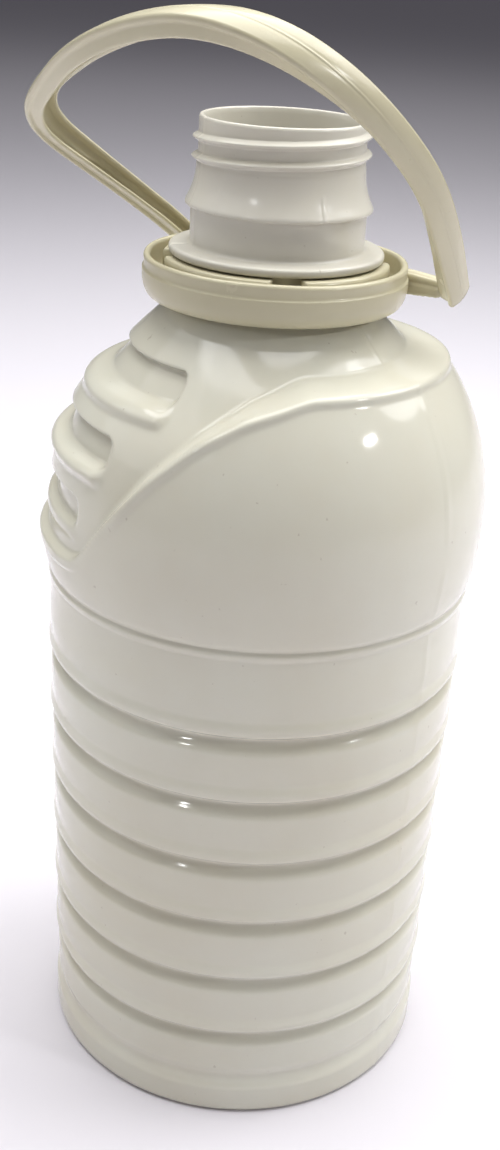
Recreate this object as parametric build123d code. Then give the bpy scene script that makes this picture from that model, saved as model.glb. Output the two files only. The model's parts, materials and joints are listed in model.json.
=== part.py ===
from build123d import *
import math
import os

# Calf feeding bottle: a ribbed blown bottle with a threaded neck, and a clip-on carrying handle.
# Millimetres. Z is the neck's axis, and z = 0 is the plane the bottle stands on.

# ---- bottle -------------------------------------------------------------------------
TOTAL_HEIGHT = 324.0        # standing plane to neck rim
BODY_R = 69.5               # crest of the ribbed part
SHOULDER_R = 72.7           # widest part, above the waist
GROOVE_PITCH = 23.4         # spacing of the ring grooves
FIRST_GROOVE_Z = 33.6
GROOVE_COUNT = 6
GROOVE_DEPTH = 3.0
GROOVE_HALF_WIDTH = 4.5
WAIST_Z = 182.0             # small ledge between the ribbed part and the shoulder
WAIST_STEP = 1.0
DOME_Z = 202.0              # centre of the shoulder's arc
DOME_ARC_R = 78.7
DOME_TOP_Z = 256.0          # where a small step leads from the dome to the cone
DOME_STEP = 1.5
CONE_SUM = 301.0            # radius plus height on the 45 degree cone under the neck
WALL = 1.8                  # blown wall
HEEL = 4.0                  # height and run of the heel's chamfer
STAND_Z = 0.0
FLOOR_Z = 8.0               # inside of the base
PUSH_UP = 6.0               # depth of the recess under the base
PUSH_UP_R = 52.0
BODY_TOP_Z = 274.0          # the neck finish starts here
BODY_NECK_R = 27.2

# Finger recesses on the -X side: height, half angle, depth.
RECESSES = [(252.0, 58.0, 4.0), (232.0, 43.0, 4.0), (211.0, 35.0, 3.5)]
RECESS_R = 6.5

# ---- neck finish --------------------------------------------------------------------
BORE_R = 23.6               # inside of the neck
RIM_R = 25.0                # outside of the neck at the rim
NECK_R = 26.7               # plain neck under the skirt
THREAD_R = 26.9
THREAD_PITCH = 5.8
THREAD_TOP_Z = TOTAL_HEIGHT - 4.2
THREAD_HALF_WIDTH = 1.3     # at its root, which is sunk into the neck
THREAD_CREST = 0.3          # half width at its crest
THREAD_ROOT_R = 24.6
SKIRT_TOP_Z = TOTAL_HEIGHT - 13.0
LIP_R = 28.5
LIP_Z = TOTAL_HEIGHT - 24.8
LIP_THICK = 1.2
FLARE_R = 26.0              # where the skirt's steep part starts
FLARE_Z = LIP_Z + 6.0
FLANGE_R = 33.0             # support flange
FLANGE_Z = 283.6            # its underside
FLANGE_THICK = 2.7
FLANGE_EDGE = 0.6           # chamfer

# ---- handle ring --------------------------------------------------------------------
RING_R = 41.0
RING_INNER_R = 38.4
RING_TOP_Z = 283.5
RING_EDGE = 0.7             # chamfer along the rim
RING_BOTTOM_Z = 270.5
RING_FOOT_R = 37.2
RING_BEND_Z = 276.5         # where the wall starts to curve in
WEB_Z = 277.5               # top of the inner web, where the snap segments stand
WEB_THICK = 2.0
WEB_INNER_R = 28.6
WEB_BEND_R = 32.0
WEB_DIP_Z = 274.7           # bottom of the dip between the wall and the segments
SEGMENT_R = 35.0
SEGMENT_GAP = 0.5           # under the support flange
SEGMENT_COUNT = 4
SEGMENT_ANGLE = 75.0
SEGMENT_START = -76.0

# ---- hinges and strap ---------------------------------------------------------------
HINGE_OFFSET = 24.0         # hinge line from the neck's axis
HINGE_HALF_SPAN = 47.0      # from the middle of the hinge line to a strap end
HINGE_AZIMUTH = 58.0        # direction of the offset, from +X
HINGE_Z = 277.0
LUG_WIDTH = 5.6
LUG_THICK = 5.0
LUG_ROOT = 31.0             # from the middle of the hinge line, inside the ring's wall
PIN_R = 1.8
PIN_CLEARANCE = 0.08
PIN_START = 46.1            # sunk into the lug
PIN_END = 52.1
END_GAP = 0.4               # lug face to strap end
STRAP_LEAN = 50.0           # from upright at rest, away from the offset
STRAP_WIDTH = 14.0
STRAP_DEPTH = 7.0           # outer face to the edge of the side walls
STRAP_WEB = 2.2
STRAP_SIDE = 2.2
BOSS_LENGTH = 9.0
BOSS_WIDTH = 13.0
BOSS_THICK = 5.0
# The strap's outer tangent polygon in its own plane: along the hinge line, and away from it.
STRAP_ROUTE = [(51, -4.5), (66, 64), (52.5, 103.5), (22.5, 124.5), (-52, 91), (-80, 58), (-51, -4.5)]
STRAP_RADII = [60, 42, 27, 60, 24]


def at(radius, height):
    """A point in the radius-height plane."""
    return Vector(radius, 0, height)


def turned(*lines):
    """Revolves a closed radius-height outline about the neck's axis."""
    return revolve(make_face(Curve() + list(lines)), axis=Axis.Z)


def body_envelope(inset, bottom_z, neck_r):
    """The body's outline as a solid, moved inwards by inset."""
    radius = BODY_R - inset
    points = [at(0, bottom_z), at(radius - HEEL, bottom_z), at(radius, bottom_z + HEEL)]
    for index in range(GROOVE_COUNT):
        height = FIRST_GROOVE_Z + index * GROOVE_PITCH
        points.append(at(radius, height - GROOVE_HALF_WIDTH))
        points.append(at(radius - GROOVE_DEPTH, height))
        points.append(at(radius, height + GROOVE_HALF_WIDTH))
    points.append(at(radius, WAIST_Z))
    points.append(at(radius - WAIST_STEP, WAIST_Z + WAIST_STEP))
    points.append(at(SHOULDER_R - inset, DOME_Z))
    arc_r = DOME_ARC_R - inset
    centre_r = SHOULDER_R - DOME_ARC_R
    sweep = math.asin((DOME_TOP_Z - inset - DOME_Z) / arc_r)
    middle = at(centre_r + arc_r * math.cos(sweep / 2), DOME_Z + arc_r * math.sin(sweep / 2))
    end = at(centre_r + arc_r * math.cos(sweep), DOME_TOP_Z - inset)
    cone_sum = CONE_SUM - inset * math.sqrt(2)
    cone_low = at(cone_sum - DOME_TOP_Z - DOME_STEP, DOME_TOP_Z + DOME_STEP)
    cone_high = at(neck_r, min(cone_sum - neck_r, BODY_TOP_Z - 1))
    neck = [end, cone_low, cone_high, at(neck_r, BODY_TOP_Z), at(0, BODY_TOP_Z), at(0, bottom_z)]
    return turned(Polyline(*points), ThreePointArc(points[-1], middle, end), Polyline(*neck))


def shoulder_r(height):
    """The dome's outer radius at a height."""
    return SHOULDER_R - DOME_ARC_R + math.sqrt(DOME_ARC_R**2 - (height - DOME_Z) ** 2)


def recess_cutters(grow):
    """One rounded bar for each finger recess, bent round the -X side."""
    cutters = []
    for height, half_angle, depth in RECESSES:
        bar_r = RECESS_R + grow
        path_r = shoulder_r(height) + RECESS_R - depth
        section = Plane.XZ * Pos(path_r, height) * Circle(bar_r)
        bar = Rot(0, 0, 180 - half_angle) * revolve(section, Axis.Z, 2 * half_angle)
        cutters.append(bar)
    return cutters


def bottle_body():
    """Hollow blown body with ring grooves, a waist, a dome, finger recesses and a base recess."""
    outside = body_envelope(0, STAND_Z, BODY_NECK_R)
    for cutter in recess_cutters(0):
        outside -= cutter
    inside = body_envelope(WALL, FLOOR_Z, BORE_R)
    for cutter in recess_cutters(WALL):
        inside -= cutter
    push_up = Pos(0, 0, STAND_Z + PUSH_UP / 2) * Cone(PUSH_UP_R, PUSH_UP_R - PUSH_UP, PUSH_UP)
    return outside - inside - push_up


def thread_ridge(height):
    """One turn of the thread, as a ring of triangular section."""
    outline = Polyline(
        at(THREAD_ROOT_R, height - THREAD_HALF_WIDTH),
        at(THREAD_R, height - THREAD_CREST),
        at(THREAD_R, height + THREAD_CREST),
        at(THREAD_ROOT_R, height + THREAD_HALF_WIDTH),
        close=True,
    )
    return turned(outline)


def neck_finish():
    """Open neck: rim, two thread turns, flared skirt, plain neck and support flange."""
    flange_top = FLANGE_Z + FLANGE_THICK
    outline = Polyline(
        at(BORE_R, BODY_TOP_Z),
        at(BODY_NECK_R, BODY_TOP_Z),
        at(BODY_NECK_R, FLANGE_Z),
        at(FLANGE_R - FLANGE_EDGE, FLANGE_Z),
        at(FLANGE_R, FLANGE_Z + FLANGE_EDGE),
        at(FLANGE_R, flange_top - FLANGE_EDGE),
        at(FLANGE_R - FLANGE_EDGE, flange_top),
        at(NECK_R, flange_top),
        at(NECK_R, LIP_Z - LIP_THICK),
        at(LIP_R, LIP_Z - LIP_THICK),
        at(LIP_R, LIP_Z),
        at(FLARE_R, FLARE_Z),
        at(RIM_R, SKIRT_TOP_Z),
        at(RIM_R, TOTAL_HEIGHT),
        at(BORE_R, TOTAL_HEIGHT),
        close=True,
    )
    neck = turned(outline)
    for index in range(2):
        neck += thread_ridge(THREAD_TOP_Z - index * THREAD_PITCH)
    return neck


def hinge_frame(lean):
    """The hinge line's plane: X along the hinge line, Y away from it, leaning by lean."""
    azimuth = math.radians(HINGE_AZIMUTH)
    offset = Vector(math.cos(azimuth), math.sin(azimuth), 0)
    along = Vector(math.sin(azimuth), -math.cos(azimuth), 0)
    up = Vector(0, 0, 1) * math.cos(math.radians(lean)) - offset * math.sin(math.radians(lean))
    origin = offset * HINGE_OFFSET + Vector(0, 0, HINGE_Z)
    return Plane(origin=origin, x_dir=along, z_dir=along.cross(up))


def handle_ring():
    """Cup-shaped ring with an inner web, and the two lugs with their pins."""
    outline = Polyline(
        at(RING_FOOT_R, RING_BOTTOM_Z),
        at(RING_R - 2 * RING_EDGE, RING_BOTTOM_Z + WEB_THICK),
        at(RING_R, RING_BEND_Z),
        at(RING_R, RING_TOP_Z - RING_EDGE),
        at(RING_R - RING_EDGE, RING_TOP_Z),
        at(RING_INNER_R + RING_EDGE, RING_TOP_Z),
        at(RING_INNER_R, RING_TOP_Z - RING_EDGE),
        at(RING_INNER_R, RING_BEND_Z),
        at(SEGMENT_R + RING_EDGE, WEB_DIP_Z),
        at(SEGMENT_R, WEB_Z),
        at(WEB_INNER_R, WEB_Z),
        at(WEB_INNER_R, WEB_Z - WEB_THICK),
        at(WEB_BEND_R, WEB_Z - WEB_THICK),
        close=True,
    )
    ring = turned(outline)
    inside = Pos(0, 0, HINGE_Z) * Cylinder((RING_R + RING_INNER_R) / 2, 2 * LUG_THICK)
    for side in (1, -1):
        ring += lug(side) - inside
    return ring


def lug(side):
    """A lug along the hinge line, with the pin that the strap turns on."""
    level = hinge_frame(90)
    end = HINGE_HALF_SPAN - END_GAP
    bar = Pos(side * (LUG_ROOT + end) / 2, 0, 0) * Box(end - LUG_ROOT, LUG_WIDTH, LUG_THICK)
    pin = Pos(side * (PIN_START + PIN_END) / 2, 0, 0) * Rot(0, 90, 0) * Cylinder(PIN_R, PIN_END - PIN_START)
    return level * (bar + pin)


def snap_segments():
    """Four arc segments on the ring's web, under the support flange."""
    top = FLANGE_Z - SEGMENT_GAP
    section = Plane.XZ * Pos((WEB_INNER_R + SEGMENT_R) / 2, (WEB_Z + top) / 2)
    section = section * Rectangle(SEGMENT_R - WEB_INNER_R, top - WEB_Z)
    segment = revolve(section, Axis.Z, SEGMENT_ANGLE)
    step = 360 / SEGMENT_COUNT
    return Compound([Rot(0, 0, SEGMENT_START + index * step) * segment for index in range(SEGMENT_COUNT)])


def strap_band(depth, width):
    """The strap's outer line thickened inwards by depth and extruded over width."""
    line = FilletPolyline(*STRAP_ROUTE, radius=STRAP_RADII)
    band = make_face(Wire(line.edges()).offset_2d(depth, side=Side.LEFT))
    return extrude(band, width / 2, both=True)


def carry_strap():
    """Channel-section strap with a solid boss and a pin hole at each end."""
    walls = strap_band(STRAP_DEPTH, STRAP_WIDTH)
    hollow = strap_band(STRAP_DEPTH, STRAP_WIDTH - 2 * STRAP_SIDE) - strap_band(STRAP_WEB, STRAP_WIDTH)
    strap = walls - hollow
    for side in (1, -1):
        centre = Pos(side * (HINGE_HALF_SPAN + BOSS_THICK / 2), 0, 0)
        boss = centre * Box(BOSS_THICK, BOSS_LENGTH, BOSS_WIDTH)
        hole = centre * Rot(0, 90, 0) * Cylinder(PIN_R + PIN_CLEARANCE, 4 * BOSS_THICK)
        strap = strap + boss - hole
    return hinge_frame(STRAP_LEAN) * strap


def main():
    """Writes each node's STEP file."""
    os.makedirs("parts", exist_ok=True)
    makers = [bottle_body, neck_finish, handle_ring, snap_segments, carry_strap]
    for make in makers:
        export_step(make(), f"parts/{make.__name__}.step")


main()
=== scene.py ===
"""Looks of a calf feeding bottle: ribbed glossy body, satin threaded neck and an ivory carrying handle."""

import json
import math

import bmesh
import bpy
import numpy as np
from mathutils import Matrix, Vector


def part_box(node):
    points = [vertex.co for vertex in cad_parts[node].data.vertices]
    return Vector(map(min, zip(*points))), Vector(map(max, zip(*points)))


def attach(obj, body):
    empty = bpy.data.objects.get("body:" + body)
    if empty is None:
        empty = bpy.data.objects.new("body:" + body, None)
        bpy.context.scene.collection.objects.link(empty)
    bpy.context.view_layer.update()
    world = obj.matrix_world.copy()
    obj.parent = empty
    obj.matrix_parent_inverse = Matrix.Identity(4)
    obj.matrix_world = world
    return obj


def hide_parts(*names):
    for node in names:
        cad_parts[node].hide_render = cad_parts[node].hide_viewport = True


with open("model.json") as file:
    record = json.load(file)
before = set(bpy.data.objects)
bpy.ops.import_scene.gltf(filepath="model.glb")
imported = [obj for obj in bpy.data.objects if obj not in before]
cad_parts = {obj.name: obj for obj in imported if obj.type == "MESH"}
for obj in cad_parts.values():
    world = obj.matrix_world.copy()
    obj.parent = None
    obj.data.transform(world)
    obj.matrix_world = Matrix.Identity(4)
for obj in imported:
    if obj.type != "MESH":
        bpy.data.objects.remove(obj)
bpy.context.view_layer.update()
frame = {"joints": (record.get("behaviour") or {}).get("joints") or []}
MM = 0.001                  # metres in a millimetre

# ---- sizes, in millimetres, on the neck's axis with z = 0 at the standing plane ----------
body_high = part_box("bottle_body")[1] / MM
neck_low, neck_high = (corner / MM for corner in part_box("neck_finish"))
ring_low, ring_high = (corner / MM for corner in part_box("handle_ring"))
HEIGHT = neck_high.z
NECK_BASE = neck_low.z
SHOULDER_R = body_high.y
BODY_R = SHOULDER_R - 3.2   # crest of the ribbed part, at its top
BORE_R = 23.6
WALL = 1.8

swing = next(j for j in frame["joints"] if j["name"] == "strap_swing")
HINGE = Vector(swing["pos_m"]) / MM
ALONG = Vector(swing["axis"]).normalized()


# ---- camera -----------------------------------------------------------------------------
def add_camera():
    """A camera in front of the bottle, a little above its rim, looking down and slightly rolled."""
    distance, above_rim = 430.5, 51.9
    yaw, pitch, roll = (math.radians(a) for a in (-0.33, 25.05, 3.22))
    focal_px, image_px = 1400.0, 1150.0
    forward = Vector((math.sin(yaw) * math.cos(pitch), math.cos(yaw) * math.cos(pitch), -math.sin(pitch)))
    level = Vector((math.cos(yaw), -math.sin(yaw), 0))
    right = level * math.cos(roll) + level.cross(forward) * math.sin(roll)
    up = right.cross(forward)
    data = bpy.data.cameras.new("camera")
    data.sensor_fit = "VERTICAL"
    data.sensor_height = 24.0
    data.lens = data.sensor_height * focal_px / image_px
    data.clip_start = 0.01
    camera = bpy.data.objects.new("camera", data)
    turn = Matrix((right, up, -forward)).transposed().to_4x4()
    camera.matrix_world = Matrix.Translation(Vector((0, -distance, HEIGHT + above_rim)) * MM) @ turn
    bpy.context.scene.collection.objects.link(camera)
    bpy.context.scene.camera = camera


# ---- small helpers ----------------------------------------------------------------------
def smoothstep(low, high, value):
    """0 below low, 1 above high, smooth between; works on arrays."""
    t = np.clip((value - low) / (high - low), 0.0, 1.0)
    return t * t * (3 - 2 * t)


def bump(centre, half_width, value):
    """A smooth hill of height 1 at centre, 0 beyond half_width."""
    t = np.clip(1 - np.abs(value - centre) / half_width, 0.0, 1.0)
    return t * t * (3 - 2 * t)


def signed_angle(azimuth, centre):
    """Degrees from centre, between -180 and 180."""
    return (azimuth - centre + 180) % 360 - 180


def grid_object(name, points, close_rows=False, cap_first=False, cap_last=False):
    """A mesh from rings of points (rows x columns x 3, millimetres); columns always close."""
    rows, columns = points.shape[:2]
    verts = points.reshape(-1, 3) * MM
    ring = np.arange(columns)
    after = (ring + 1) % columns
    faces = []
    last = rows if close_rows else rows - 1
    for row in range(last):
        here, there = row * columns, ((row + 1) % rows) * columns
        faces.extend(np.stack([here + ring, here + after, there + after, there + ring], 1).tolist())
    if cap_first:
        faces.append((ring[::-1]).tolist())
    if cap_last:
        faces.append(((rows - 1) * columns + ring).tolist())
    mesh = bpy.data.meshes.new(name)
    mesh.from_pydata(verts.tolist(), [], faces)
    mesh.validate()
    build = bmesh.new()
    build.from_mesh(mesh)
    bmesh.ops.recalc_face_normals(build, faces=build.faces)
    build.to_mesh(mesh)
    build.free()
    mesh.shade_smooth()
    obj = bpy.data.objects.new(name, mesh)
    bpy.context.scene.collection.objects.link(obj)
    return obj


def turned_points(radius, height, azimuth):
    """Rings of points from radius and height arrays (rows x columns) at azimuths in degrees."""
    angle = np.radians(azimuth)[None, :]
    return np.stack([radius * np.cos(angle), radius * np.sin(angle), height + 0 * angle], axis=-1)


# ---- bottle body ------------------------------------------------------------------------
GROOVE_PITCH = 23.4
FIRST_GROOVE = 33.6
GROOVES = 6
WAIST = 182.0               # a small ledge under the shoulder
WAIST_R = BODY_R - 0.7
WAIST_BEAD = 0.65           # a thin raised line under the ledge
TAPER, TAPER_END = 1.8, 20.0  # the ribbed part narrows by this much, down to this height
GROOVE_DEPTH = 2.3
NOTCH_UP, NOTCH_DOWN = 2.9, 4.6  # the notch's reach above and below its bottom
BEAD = 0.8                  # the rounded lip above each groove
BEAD_ABOVE, BEAD_HALF = 4.2, 3.8  # its height over the notch, and its half width
SWELL = 0.3                 # how far the wall bulges between two grooves
SWELL_ABOVE, SWELL_HALF = 14.0, 8.5
FOOT, FOOT_TOP = 0.6, 11.5  # the foot stands proud below this height
FOOT_DIP, FOOT_DIP_HALF = 0.9, 4.5  # the hollow above the foot
HEEL = 2.4                  # radius of the rounded heel
DOME_Z = 206.0              # centre of the shoulder's arc
DOME_ARC = 78.7             # its radius
HIP_POWER = 0.4             # how quickly the wall widens above the waist
CONE_SUM = 301.8            # radius plus height on the 45 degree cone under the neck
NECK_ROOT_R = 27.2
GRIP_AZIMUTH = 180.0
GRIP_DEPTH = 3.2            # how far the grip area lies under the label panel
GRIP_LOW, GRIP_FULL = 188.0, 200.0  # where it starts to sink, and where it is at full depth
GRIP_R = 65.0               # mean radius of the grip area
CONE_BLEND = 4.0            # softens the corner between grip and cone
EDGE_HALF = 1.4             # half width of the step along the label panel's edge
EDGE_RIDGE, EDGE_RIDGE_BELOW, EDGE_RIDGE_HALF = 1.2, 1.6, 2.8
MOULD_AZIMUTHS = (-39.0, 141.0)
MOULD_LINE, MOULD_LINE_HALF = 0.22, 1.3  # height in millimetres, half width in degrees
# Finger recesses: height, half angle, depth, and how far the lower lip stands out.
RECESSES = ((251.5, 59.0, 3.6, 1.9), (231.5, 44.5, 3.4, 1.9), (211.0, 36.0, 2.8, 0.8))
RECESS_HALF_HEIGHT = 4.3
RECESS_CORNER = 3.2
RECESS_EDGE = 0.9           # half width of the step down to the floor
RECESS_LIP_BELOW, RECESS_LIP_HALF = 2.6, 3.8
# The label panel's edge: degrees from the middle of the grip, and height.
PANEL_EDGE = ((0, 196), (34, 196), (40, 198), (48, 211), (61, 231), (72, 243),
              (84, 250.5), (102, 256.5), (180, 257.5))


def groove_profile(above):
    """Change of radius around a ring groove, by height above its bottom: a lip over a crisp notch."""
    lip = BEAD * bump(BEAD_ABOVE, BEAD_HALF, above)
    notch = np.where(above > 0, bump(0, NOTCH_UP, above), bump(0, NOTCH_DOWN, above))
    return lip - GROOVE_DEPTH * notch


def panel_radius(z):
    """Radius of the label panel and everything below it, with grooves, waist and heel."""
    above_dome = np.maximum(z - DOME_Z, 0)
    dome = SHOULDER_R - DOME_ARC + np.sqrt(np.maximum(DOME_ARC**2 - above_dome**2, 1.0))
    up_hip = np.clip((z - WAIST) / (DOME_Z - WAIST), 0, 1)
    hip = WAIST_R + (SHOULDER_R - WAIST_R) * np.sin(up_hip * math.pi / 2) ** HIP_POWER
    ribbed = BODY_R - TAPER * smoothstep(WAIST, TAPER_END, z)
    radius = np.where(z > DOME_Z, dome, hip)
    radius = ribbed + (radius - ribbed) * smoothstep(WAIST - 0.8, WAIST + 1.6, z)
    radius = radius + WAIST_BEAD * bump(WAIST - 1.4, 2.2, z)
    for index in range(GROOVES):
        centre = FIRST_GROOVE + index * GROOVE_PITCH
        radius = radius + groove_profile(z - centre)
        radius = radius + SWELL * bump(centre + SWELL_ABOVE, SWELL_HALF, z)
    foot = FOOT * (1 - smoothstep(FOOT_TOP - 1.5, FOOT_TOP + 1.5, z))
    radius = radius + foot - FOOT_DIP * bump(FOOT_TOP + 4.0, FOOT_DIP_HALF, z)
    below = np.clip((HEEL - z) / HEEL, 0, 1)
    return radius - HEEL * (1 - np.sqrt(1 - below**2))


def panel_edge_height(azimuth):
    """Height of the label panel's edge: level over the front and back, swooping down beside the grip."""
    degrees = np.arange(-180.0, 181.0)
    steps = np.interp(np.abs(degrees), *np.array(PANEL_EDGE).T)
    kernel = np.hanning(13) / np.hanning(13).sum()
    smooth = np.convolve(np.pad(steps, 6, mode="edge"), kernel, mode="valid")
    return np.interp(signed_angle(azimuth, GRIP_AZIMUTH), degrees, smooth)


def recess_profile(off_grip, z, height, half_angle, depth, lip):
    """One finger recess: a flat floor with rounded ends, a sharp upper edge and a thick lower ridge."""
    past_end = GRIP_R * np.radians(np.abs(off_grip) - half_angle)
    across = past_end + RECESS_CORNER
    above = z - height
    up = np.abs(above) - RECESS_HALF_HEIGHT + RECESS_CORNER
    past_corner = np.hypot(np.maximum(across, 0), np.maximum(up, 0))
    outside = past_corner + np.minimum(np.maximum(across, up), 0) - RECESS_CORNER
    floor = depth * (1 - smoothstep(-RECESS_EDGE, RECESS_EDGE, outside))
    ridge = bump(-RECESS_HALF_HEIGHT - RECESS_LIP_BELOW, RECESS_LIP_HALF, above)
    return lip * ridge * (1 - smoothstep(-3.5, 2.0, past_end)) - floor


def body_radius(azimuth, z):
    """Outer radius of the body at an azimuth (degrees) and height (mm)."""
    panel = panel_radius(z)
    grip = panel - GRIP_DEPTH * smoothstep(GRIP_LOW, GRIP_FULL, z)
    cone = CONE_SUM - z
    sunken = (grip + cone - np.sqrt((grip - cone) ** 2 + CONE_BLEND**2)) / 2
    edge = panel_edge_height(azimuth)
    rise = panel_edge_height(azimuth + 0.5) - panel_edge_height(azimuth - 0.5)
    slope = rise / math.radians(SHOULDER_R)
    past_edge = (z - edge) / np.sqrt(1 + slope**2)
    radius = panel + (sunken - panel) * smoothstep(-EDGE_HALF, EDGE_HALF, past_edge)
    radius = radius + EDGE_RIDGE * bump(-EDGE_RIDGE_BELOW, EDGE_RIDGE_HALF, past_edge)
    off_grip = signed_angle(azimuth, GRIP_AZIMUTH)
    for height, half_angle, depth, lip in RECESSES:
        radius = radius + recess_profile(off_grip, z, height, half_angle, depth, lip)
    for mould in MOULD_AZIMUTHS:
        radius = radius + MOULD_LINE * bump(0, MOULD_LINE_HALF, signed_angle(azimuth, mould))
    return radius


def make_body():
    """Outer skin with grooves, panel and finger recesses, base recess, and the inner skin."""
    columns = 384
    azimuth = np.linspace(0, 360, columns, endpoint=False)[None, :]
    neck_top = NECK_BASE
    shoulder_z, ribbed_z = np.linspace(neck_top, WAIST + 6, 190), np.linspace(WAIST + 5.5, 0.0, 340)
    z = np.concatenate([shoulder_z, ribbed_z])[:, None]
    root_low = neck_top - 2.5
    root = NECK_ROOT_R + 6 * (1 - smoothstep(root_low, neck_top, z))
    outer = np.minimum(body_radius(azimuth, z), np.where(z > root_low, root, SHOULDER_R))
    base = np.array([(62, 0), (58, 0.6), (55, 2.2), (52, 4.4), (48, 5.6), (30, 6.0), (8, 6.2), (0.5, 6.2)])
    floor = np.array([(0.5, 8.0), (20, 8.0), (45, 8.0), (60, 8.0)])
    inner_z = np.concatenate([np.linspace(8.5, 200, 90), np.linspace(203, neck_top, 50)])[:, None]
    inner = np.maximum(body_radius(azimuth, np.minimum(inner_z, neck_top - 3)) - 1.2 * WALL, BORE_R)
    inner = np.where(inner_z > neck_top - 3.5, BORE_R, inner)
    flat = np.vstack([base, floor])
    radius = np.vstack([outer, flat[:, :1] + 0 * azimuth, inner])
    height = np.vstack([z + 0 * azimuth, flat[:, 1:] + 0 * azimuth, inner_z + 0 * azimuth])
    return grid_object("bottle_body_skin", turned_points(radius, height, azimuth[0]), close_rows=True)


# ---- neck finish ------------------------------------------------------------------------
RIM_R = 25.0
NECK_R = 26.7
FLANGE_R = 33.0
FLANGE_UNDER = 283.6
FLANGE_TOP = 286.3
LIP_R = 28.45
LIP_Z = HEIGHT - 24.8
SKIRT_TOP = HEIGHT - 13.6
THREAD_PITCH = 5.6
THREAD_DEPTH, THREAD_HALF = 1.75, 1.35
THREAD_LEFT_Z = HEIGHT - 12.0       # lower turn's height on the -X side
THREAD_FROM, THREAD_TO = -0.2, 1.72  # in turns from the -X side
THREAD_RUN_OUT = 0.06
NECK_PARTING = -157.0


def thread_height(azimuth, z):
    """How far the helical ridge stands out at an azimuth and height, in millimetres."""
    ridge = np.zeros(np.broadcast(azimuth, z).shape)
    for turn in (-1, 0, 1):
        along = ((azimuth - 180) % 360) / 360 + turn
        fade_in = smoothstep(THREAD_FROM, THREAD_FROM + THREAD_RUN_OUT, along)
        fade_out = 1 - smoothstep(THREAD_TO - THREAD_RUN_OUT, THREAD_TO, along)
        crest = bump(THREAD_LEFT_Z + THREAD_PITCH * along, THREAD_HALF, z) ** 0.75
        ridge = np.maximum(ridge, fade_in * fade_out * crest)
    return THREAD_DEPTH * ridge


def make_neck():
    """Rim, two thread turns, flared skirt, plain neck and support flange, with the bore."""
    columns = 288
    azimuth = np.linspace(0, 360, columns, endpoint=False)
    root_r = NECK_ROOT_R
    rows = [(BORE_R, NECK_BASE), (root_r, NECK_BASE), (root_r, NECK_BASE + 3)]
    rows += [(root_r, FLANGE_UNDER - 1), (27.5, FLANGE_UNDER - 0.2)]
    rows += [(28.5, FLANGE_UNDER), (31.0, FLANGE_UNDER)]
    rows += rounded((FLANGE_R, FLANGE_UNDER), (FLANGE_R, FLANGE_TOP), 1.1)
    rows += [(31.0, FLANGE_TOP + 0.05), (29.0, FLANGE_TOP + 0.1)]
    rows += [(27.6, FLANGE_TOP + 0.2), (NECK_R + 0.3, FLANGE_TOP + 0.5)]
    rows += [(NECK_R, z) for z in np.linspace(FLANGE_TOP + 1.2, LIP_Z - 1.6, 8)]
    rows += [(NECK_R + 0.1, LIP_Z - 1.1), (NECK_R + 0.8, LIP_Z - 0.95), (LIP_R - 0.35, LIP_Z - 0.95)]
    rows += [(LIP_R - 0.05, LIP_Z - 0.75), (LIP_R, LIP_Z - 0.3), (LIP_R - 0.08, LIP_Z + 0.1)]
    skirt_low_z = LIP_Z + 0.2
    for step in np.linspace(0.05, 1, 14):
        flare = (LIP_R - 25.5) * (1 - step) ** 2.1
        rows.append((25.4 + flare, skirt_low_z + (SKIRT_TOP - skirt_low_z) * step))
    for z in np.linspace(SKIRT_TOP + 0.3, HEIGHT - 0.9, 56):
        rows.append((RIM_R + 0.3 * (1 - smoothstep(0, 4, z - SKIRT_TOP)), z))
    rows += [(RIM_R - 0.12, HEIGHT - 0.35), (RIM_R - 0.45, HEIGHT - 0.05), (RIM_R - 0.8, HEIGHT)]
    rows += [(BORE_R + 0.25, HEIGHT - 0.08), (BORE_R, HEIGHT - 0.5)]
    rows += [(BORE_R, z) for z in np.linspace(HEIGHT - 2, NECK_BASE + 2, 14)]
    rows = np.array(rows)
    r = rows[:, :1] * np.ones((1, columns))
    z = rows[:, 1:] * np.ones((1, columns))
    az = azimuth[None, :] * np.ones_like(r)
    outside = r > BORE_R + 0.9
    threaded = outside & (z > SKIRT_TOP - 2)
    r = r + np.where(threaded, thread_height(az, z), 0)
    parting = bump(0, 2.0, signed_angle(az, NECK_PARTING))
    parting = parting + bump(0, 2.0, signed_angle(az, NECK_PARTING + 180))
    on_neck = outside & (z > FLANGE_TOP + 1)
    r = r + np.where(on_neck, 0.35 * parting, 0)
    split = bump(0, 1.6, signed_angle(az, NECK_PARTING - 12))
    on_flange = (z > FLANGE_UNDER - 0.5) & (z < FLANGE_TOP + 0.4) & (r > 28)
    z = z - np.where(on_flange & (z > FLANGE_TOP - 0.6), 0.45 * split, 0)
    skirt_low = outside & (np.abs(z - LIP_Z - 2.5) < 3.6)
    for rib in (-131.0, -61.0, 28.0, 95.0):
        r = r + np.where(skirt_low, 0.22 * bump(0, 1.3, signed_angle(az, rib)), 0)
    return grid_object("neck_finish_skin", turned_points(r, z, azimuth), close_rows=True)


def rounded(low, high, radius, steps=7):
    """A rounded outer edge from low to high: two quarter circles and the straight between them."""
    (r, z0), (_, z1) = low, high
    turn = np.linspace(0, math.pi / 2, steps)
    lower = [(r - radius + radius * math.sin(t), z0 + radius - radius * math.cos(t)) for t in turn]
    upper = [(r - radius + radius * math.cos(t), z1 - radius + radius * math.sin(t)) for t in turn]
    return lower + upper


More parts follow.
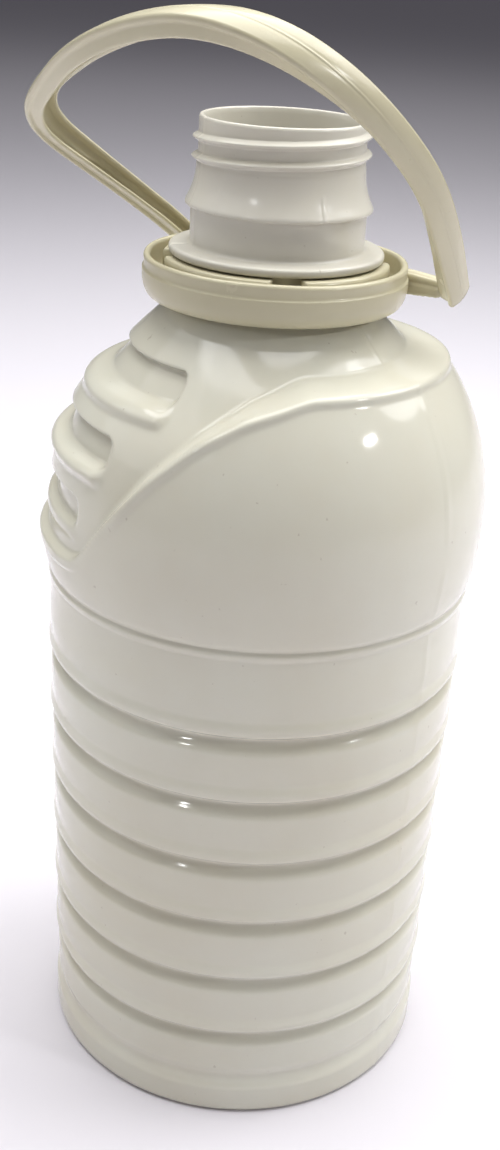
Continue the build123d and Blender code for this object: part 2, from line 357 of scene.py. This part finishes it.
# ---- handle ring ------------------------------------------------------------------------
RING_R = 41.0
RING_IN = 38.4
RING_TOP = ring_high.z
RING_LOW = ring_low.z
RING_FOOT_IN, RING_FOOT_TALL = 3.8, 6.5  # how far the wall curves in, and over what height
WEB_Z = 277.5
WEB_IN = 28.6
SEGMENT_R = 35.0
SEGMENTS = 4
SEGMENT_START, SEGMENT_HALF = -76.0, 37.5  # degrees
SEGMENT_GAP = 0.5           # under the support flange
LUG_ROOT = 32.0             # along the hinge line, in the ring's wall
LUG_TIP = 46.6
LUG_FLASH = 0.35            # ragged moulding flash along the lower edges
PIN_TIP = 49.5
PIN_R = 1.7


def make_ring():
    """The cup-shaped ring: rolled rim, a small ledge at the parting line, curved-in foot and inner web."""
    columns = 256
    azimuth = np.linspace(0, 360, columns, endpoint=False)
    parting = RING_TOP - 4.6
    rows = [(RING_R - RING_FOOT_IN, RING_LOW)]
    for t in np.linspace(0.12, 1, 12):
        turn = t * math.pi / 2
        out = RING_FOOT_IN * (1 - math.sin(turn) ** 0.8)
        rows.append((RING_R - out, RING_LOW + RING_FOOT_TALL * (1 - math.cos(turn))))
    rows += [(RING_R, parting - 0.5), (RING_R, parting - 0.1), (RING_R - 0.12, parting + 0.15)]
    rows += [(RING_R - 0.5, parting + 0.3), (RING_R - 0.55, parting + 1.0), (RING_R - 0.5, parting + 2.4)]
    rim = (RING_R - 0.4 - RING_IN) / 2
    for t in np.linspace(-0.1, 1.0, 14):
        angle = t * math.pi
        rows.append((RING_IN + rim + rim * math.cos(angle), RING_TOP - rim + rim * math.sin(angle)))
    rows += [(RING_IN, RING_TOP - 3), (RING_IN, RING_LOW + 7.5), (RING_IN - 0.4, RING_LOW + 5.6)]
    rows += [(SEGMENT_R + 1.2, RING_LOW + 4.5), (SEGMENT_R + 0.5, RING_LOW + 5.5)]
    rows += [(SEGMENT_R + 0.2, WEB_Z - 0.3), (SEGMENT_R - 0.3, WEB_Z), (WEB_IN + 0.4, WEB_Z)]
    rows += [(WEB_IN, WEB_Z - 0.5), (WEB_IN, WEB_Z - 1.8)]
    rows += [(WEB_IN + 0.6, WEB_Z - 2), (WEB_IN + 3.4, WEB_Z - 2)]
    rows = np.array(rows)
    r = rows[:, :1] + 0 * azimuth
    z = rows[:, 1:] + 0 * azimuth
    wave = 0.12 * np.sin(np.radians(3 * azimuth + 40)) + 0.08 * np.sin(np.radians(7 * azimuth))
    z = z + np.where(z > RING_TOP - 1.5, wave - 0.2, 0)
    return grid_object("handle_ring_skin", turned_points(r, z, azimuth), close_rows=True)


def make_lug(side):
    """A lug on the hinge line: a flat bar with raised edges, ragged moulding flash and a round end."""
    chance = np.random.default_rng(11 + side)
    middle = np.array(HINGE)
    sideways = np.array(ALONG.cross(Vector((0, 0, 1))))
    along, up = np.array(ALONG) * side, np.array((0.0, 0.0, 1.0))
    turn = np.linspace(0, 2 * math.pi, 40, endpoint=False)
    squareness = 5
    corner = (np.abs(np.cos(turn)) ** squareness + np.abs(np.sin(turn)) ** squareness) ** (-1 / squareness)
    across, rise = corner * np.cos(turn), corner * np.sin(turn)
    rings = []
    for reach in np.linspace(LUG_ROOT, LUG_TIP, 30):
        tip = smoothstep(LUG_TIP - 1.6, LUG_TIP, reach)
        wide = 3.0 + 0.5 * (1 - smoothstep(LUG_ROOT, LUG_ROOT + 4, reach)) - 0.7 * tip
        tall = 3.5 - 0.8 * smoothstep(LUG_ROOT, LUG_TIP, reach) - 0.6 * tip
        channel = 0.45 * bump(0, 0.65, across) * (np.abs(rise) > 0.5)
        flash = LUG_FLASH * chance.random(len(turn)) * (rise < -0.75) * (np.abs(across) > 0.55)
        waist = 1 - 0.2 * bump(0.3, 0.3, rise)
        heights = tall * rise - tall * channel * np.sign(rise) - flash
        centre = middle + along * reach
        rings.append([centre + sideways * a + up * b for a, b in zip(wide * across * waist, heights)])
    for reach, size in ((LUG_TIP, PIN_R + 0.2), (LUG_TIP + 0.05, PIN_R), (PIN_TIP, PIN_R)):
        centre = middle + along * reach
        rings.append([centre + size * (sideways * math.cos(t) + up * math.sin(t)) for t in turn])
    name = "handle_lug_near" if side > 0 else "handle_lug_far"
    return grid_object(name, np.array(rings), cap_first=True, cap_last=True)


def make_segments():
    """Four snap segments with rounded ends, standing on the web under the flange."""
    pieces = []
    top = FLANGE_UNDER - SEGMENT_GAP
    mid_r, half_r = (WEB_IN + SEGMENT_R) / 2, (SEGMENT_R - WEB_IN) / 2
    section = [(-1, 0.02), (1, 0.02), (1, 0.75), (0.93, 0.93)]
    section += [(0.8, 1), (-0.8, 1), (-0.93, 0.93), (-1, 0.75)]
    t = np.linspace(-1, 1, 60)
    round_end = np.clip((np.abs(t) - 0.94) / 0.06, 0, 1)
    taper = np.sqrt(np.clip(1 - round_end**2, 0.02, 1))
    for index in range(SEGMENTS):
        middle = SEGMENT_START + SEGMENT_HALF + 360 / SEGMENTS * index
        rings = []
        for a, k in zip(np.radians(middle + SEGMENT_HALF * t), taper):
            ring = []
            for across, up in section:
                r = mid_r + half_r * across * k
                ring.append((r * math.cos(a), r * math.sin(a), WEB_Z + (top - WEB_Z) * up))
            rings.append(ring)
        name = f"snap_segment_{index + 1}"
        pieces.append(grid_object(name, np.array(rings), cap_first=True, cap_last=True))
    return pieces


# ---- strap ------------------------------------------------------------------------------
LEAN = 50.0
STRAP_DEPTH = 6.2
STRAP_WEB = 2.0
OUTER_FACE = 2.0            # from the route to the outer face
# The route in the strap's plane: along the hinge line, and away from it.
STRAP_POINTS = ((49.8, -2), (51.6, 7), (56, 29), (60, 57), (57, 80), (49.5, 100), (37, 115),
                (19, 121), (-5, 115.5), (-30, 103.5), (-51, 88.5), (-67.5, 74.5), (-73.3, 60),
                (-65, 42), (-58, 27), (-51, 10), (-49.5, -2))
# Share of the route from the near end, half width, and twist in degrees.
STRAP_FORM = ((0, 4.6, -12), (0.08, 4.5, -28), (0.17, 4.4, -40), (0.3, 4.6, -15), (0.45, 5.8, 45),
              (0.6, 6, 38), (0.75, 5.5, 5), (0.9, 4, 5), (1, 3.8, 0))


def strap_axes():
    """The strap plane's axes at rest: along the hinge line, away from it, and across the strap."""
    sideways = ALONG.cross(Vector((0, 0, 1)))
    away = Vector((0, 0, 1)) * math.cos(math.radians(LEAN)) + sideways * math.sin(math.radians(LEAN))
    return np.array(ALONG), np.array(away), np.array(ALONG.cross(away))


def smooth_route(points, steps):
    """A smooth spline through the control polygon, sampled evenly."""
    curve = bpy.data.curves.new("route", "CURVE")
    curve.dimensions = "3D"
    spline = curve.splines.new("NURBS")
    spline.points.add(len(points) - 1)
    for slot, point in zip(spline.points, points):
        slot.co = (*point, 0, 1)
    spline.order_u = 3
    spline.use_endpoint_u = True
    spline.resolution_u = 24
    holder = bpy.data.objects.new("route", curve)
    bpy.context.scene.collection.objects.link(holder)
    mesh = bpy.data.meshes.new_from_object(holder)
    dense = np.array([v.co[:2] for v in mesh.vertices])
    bpy.data.objects.remove(holder)
    bpy.data.meshes.remove(mesh)
    length = np.concatenate([[0], np.cumsum(np.hypot(*np.diff(dense, axis=0).T))])
    even = np.linspace(0, length[-1], steps)
    return np.stack([np.interp(even, length, dense[:, 0]), np.interp(even, length, dense[:, 1])], 1)


def strap_section(half):
    """Section of the strap: crowned face with a parting ridge, a proud edge and inset side walls."""
    right = [(half - 0.5, -0.1), (half - 0.12, -0.5), (half, -1.0), (half - 0.1, -1.7), (half - 0.5, -2.1)]
    right += [(half - 0.95, -2.35), (half - 1.0, -3.0), (half - 1.0, -STRAP_DEPTH + 1.0)]
    right += [(half - 1.15, -STRAP_DEPTH + 0.35), (half - 1.6, -STRAP_DEPTH)]
    right += [(half - 2.1, -STRAP_DEPTH + 0.3), (half - 2.3, -STRAP_DEPTH + 1.0)]
    right += [(half - 2.4, -STRAP_WEB - 0.9), (half - 2.8, -STRAP_WEB - 0.2)]
    face = []
    for t in np.linspace(-1, 1, 31):
        ridge = 0.22 * float(bump(0, 0.1, t)) - 0.1 * float(bump(0, 0.3, t))
        face.append((t * (half - 0.9), 0.7 * (1 - t * t) + ridge))
    left = [(-x, y) for x, y in reversed(right)]
    return face + right + [(0.0, -STRAP_WEB)] + left


def evened(share, values, steps):
    """Values given at shares of the route, spread over its steps and smoothed."""
    reach = 20
    kernel = np.hanning(2 * reach + 1) / np.hanning(2 * reach + 1).sum()
    spread = np.interp(np.linspace(0, 1, steps), share, values)
    return np.convolve(np.pad(spread, reach, mode="edge"), kernel, mode="valid")


def make_strap():
    """Channel-section strap that twists along its route, with closed ends at the hinges."""
    along, away, across = strap_axes()
    steps = 240
    route = smooth_route(STRAP_POINTS, steps)
    share, half, twist = np.array(STRAP_FORM, dtype=float).T
    half, twist = evened(share, half, steps), evened(share, twist, steps)
    tangent = np.gradient(route, axis=0)
    tangent /= np.linalg.norm(tangent, axis=1)[:, None]
    outward = np.stack([tangent[:, 1], -tangent[:, 0]], 1)
    outward *= np.sign(((route - (0.0, 50.0)) * outward).sum(1))[:, None]
    rings = []
    for point, out, wide, angle in zip(route, outward, half, np.radians(twist)):
        centre = np.array(HINGE) + point[0] * along + point[1] * away
        level = out[0] * along + out[1] * away
        normal = level * math.cos(angle) - across * math.sin(angle)
        width = across * math.cos(angle) + level * math.sin(angle)
        rings.append([centre + x * width + (y + OUTER_FACE) * normal for x, y in strap_section(wide)])
    return grid_object("carry_strap_skin", np.array(rings), cap_first=True, cap_last=True)


# ---- materials --------------------------------------------------------------------------
def plastic(name, light, dark, crevice_shade_and_speck_tint, roughness, grain, subsurface):
    """Moulded plastic: colour drift, painted shade in the crevices, dirt specks, scuffs, uneven gloss,
    faint texture.
    """
    material = bpy.data.materials.new(name)
    material.use_nodes = True
    nodes, links = material.node_tree.nodes, material.node_tree.links
    shader = nodes["Principled BSDF"]
    where = nodes.new("ShaderNodeTexCoord")

    def noise(scale, detail, stretch=(1, 1, 1)):
        place = nodes.new("ShaderNodeMapping")
        place.inputs["Scale"].default_value = stretch
        links.new(where.outputs["Object"], place.inputs["Vector"])
        texture = nodes.new("ShaderNodeTexNoise")
        texture.inputs["Scale"].default_value = scale
        texture.inputs["Detail"].default_value = detail
        links.new(place.outputs["Vector"], texture.inputs["Vector"])
        return texture.outputs["Fac"]

    def ranged(source, low, high, start, end):
        spread = nodes.new("ShaderNodeMapRange")
        for socket, value in zip(("From Min", "From Max", "To Min", "To Max"), (low, high, start, end)):
            spread.inputs[socket].default_value = value
        links.new(source, spread.inputs["Value"])
        return spread.outputs["Result"]

    def mixed(factor, first, second):
        mix = nodes.new("ShaderNodeMix")
        mix.data_type = "RGBA"
        links.new(factor, mix.inputs["Factor"])
        for socket, value in ((mix.inputs[6], first), (mix.inputs[7], second)):
            if isinstance(value, tuple):
                socket.default_value = (*value, 1)
            else:
                links.new(value, socket)
        return mix.outputs[2]

    # Colour: slow drift, then painted shade in the crevices from ambient occlusion, made patchy by noise,
    # then small specks.
    drift = mixed(ranged(noise(13.0, 5.0), 0.35, 0.65, 0, 1), dark, light)
    # Painted shade: the ambient occlusion mask darkens crevices and grooves toward the third colour,
    # patchy through noise.
    crevice = nodes.new("ShaderNodeAmbientOcclusion")
    crevice.inputs["Distance"].default_value = 0.005
    crevice.samples = 6
    crevice_shade = nodes.new("ShaderNodeMath")
    crevice_shade.operation = "MULTIPLY"
    links.new(ranged(crevice.outputs["AO"], 0.45, 0.9, 1, 0), crevice_shade.inputs[0])
    links.new(ranged(noise(70.0, 8.0), 0.3, 0.7, 0.1, 0.55), crevice_shade.inputs[1])
    drift_with_shade = mixed(crevice_shade.outputs["Value"], drift, crevice_shade_and_speck_tint)
    # The specks take the same third colour that paints the crevice shade.
    specks = ranged(noise(420.0, 2.0), 0.745, 0.775, 0, 0.55)
    links.new(mixed(specks, drift_with_shade, crevice_shade_and_speck_tint), shader.inputs["Base Color"])

    # Gloss: cloudy, with duller scuffs.
    scuffs = ranged(noise(160.0, 6.0, (1, 1, 0.5)), 0.58, 0.75, 0, 0.02)
    gloss = nodes.new("ShaderNodeMath")
    gloss.operation = "ADD"
    links.new(ranged(noise(55.0, 7.0), 0.35, 0.7, roughness * 0.92, roughness * 1.1), gloss.inputs[0])
    links.new(scuffs, gloss.inputs[1])
    links.new(gloss.outputs["Value"], shader.inputs["Roughness"])

    # Relief: fine grain over slow waves.
    height = nodes.new("ShaderNodeMath")
    height.operation = "ADD"
    links.new(ranged(noise(grain, 2.0), 0, 1, 0, 0.05), height.inputs[0])
    links.new(ranged(noise(35.0, 1.0), 0, 1, 0, 1), height.inputs[1])
    rise = nodes.new("ShaderNodeBump")
    rise.inputs["Strength"].default_value = 0.15
    rise.inputs["Distance"].default_value = 0.0005
    links.new(height.outputs["Value"], rise.inputs["Height"])
    links.new(rise.outputs["Normal"], shader.inputs["Normal"])

    shader.inputs["Subsurface Weight"].default_value = subsurface
    shader.inputs["Subsurface Radius"].default_value = (0.005, 0.004, 0.003)
    shader.inputs["IOR"].default_value = 1.5
    return material


# ---- stage ------------------------------------------------------------------------------
def add_floor():
    """A plain pale floor."""
    build = bmesh.new()
    bmesh.ops.create_circle(build, cap_ends=True, segments=96, radius=12.0)
    mesh = bpy.data.meshes.new("floor")
    build.to_mesh(mesh)
    build.free()
    floor = bpy.data.objects.new("floor", mesh)
    bpy.context.scene.collection.objects.link(floor)
    material = bpy.data.materials.new("pale_floor")
    material.use_nodes = True
    shader = material.node_tree.nodes["Principled BSDF"]
    shader.inputs["Base Color"].default_value = (0.76, 0.735, 0.78, 1)
    shader.inputs["Roughness"].default_value = 0.7
    mesh.materials.append(material)


def add_light(name, place, target, size, power, colour=(1, 1, 1)):
    data = bpy.data.lights.new(name, "AREA")
    data.shape = "ELLIPSE" if max(size) > 0.5 else "RECTANGLE"
    data.size, data.size_y = size
    data.energy = power
    data.color = colour
    light = bpy.data.objects.new(name, data)
    light.location = place
    light.rotation_euler = (Vector(target) - Vector(place)).to_track_quat("-Z", "Y").to_euler()
    bpy.context.scene.collection.objects.link(light)


def add_lights():
    """Soft light from above and both sides, two small windows and a dim sky."""
    world = bpy.data.worlds.new("sky")
    world.use_nodes = True
    world.node_tree.nodes["Background"].inputs["Color"].default_value = (0.80, 0.78, 0.86, 1)
    world.node_tree.nodes["Background"].inputs["Strength"].default_value = 0.12
    bpy.context.scene.world = world
    bpy.context.scene.view_settings.view_transform = "Standard"
    centre = (0, 0, 0.2)
    add_light("ceiling", (0.1, 0.22, 1.35), (0.1, 0.1, 0), (2.0, 1.4), 29)
    add_light("left_side", (-1.2, -0.15, 1.1), centre, (1.7, 1.3), 5)
    add_light("right_side", (1.2, 0.3, 1.2), centre, (1.1, 0.8), 9)
    add_light("right_window", (0.99, -0.51, 0.87), centre, (0.13, 0.06), 2.6)
    add_light("left_window", (-0.64, -0.96, 0.85), centre, (0.08, 0.05), 1.1)
    add_light("background", (0, 2.4, 2.0), (0, 1.8, 0), (3.0, 2.0), 8)


# ---- build ------------------------------------------------------------------------------
add_camera()
add_floor()
add_lights()

# Each plastic's third colour is both the painted shade in its crevices and the tint of its specks.
body_plastic = plastic(
    "body_plastic_white", light=(0.72, 0.71, 0.605), dark=(0.68, 0.65, 0.53), crevice_shade_and_speck_tint=(0.48, 0.43, 0.34),
    roughness=0.09, grain=900.0, subsurface=0.06)
neck_plastic = plastic(
    "neck_plastic_satin", light=(0.68, 0.66, 0.585), dark=(0.62, 0.59, 0.50), crevice_shade_and_speck_tint=(0.44, 0.40, 0.31),
    roughness=0.24, grain=1400.0, subsurface=0.04)
handle_plastic = plastic(
    "handle_plastic_ivory", light=(0.59, 0.55, 0.39), dark=(0.54, 0.495, 0.335), crevice_shade_and_speck_tint=(0.50, 0.45, 0.31),
    roughness=0.24, grain=1100.0, subsurface=0.04)


def finish_piece(piece, body, slot, material, *nodes):
    """Gives a piece its material and body, and hides the CAD nodes it stands for; the slot argument is not
    used.
    """
    piece.data.materials.append(material)
    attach(piece, body)
    if nodes:
        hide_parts(*nodes)


finish_piece(make_body(), "bottle", "body_plastic", body_plastic, "bottle_body")
finish_piece(make_neck(), "bottle", "neck_plastic", neck_plastic, "neck_finish")
for segment in make_segments():
    finish_piece(segment, "ring", "handle_plastic", handle_plastic, "snap_segments")
finish_piece(make_ring(), "ring", "handle_plastic", handle_plastic, "handle_ring")
for side in (1, -1):
    finish_piece(make_lug(side), "ring", "handle_plastic", handle_plastic, "handle_ring")
finish_piece(make_strap(), "strap", "handle_plastic", handle_plastic, "carry_strap")
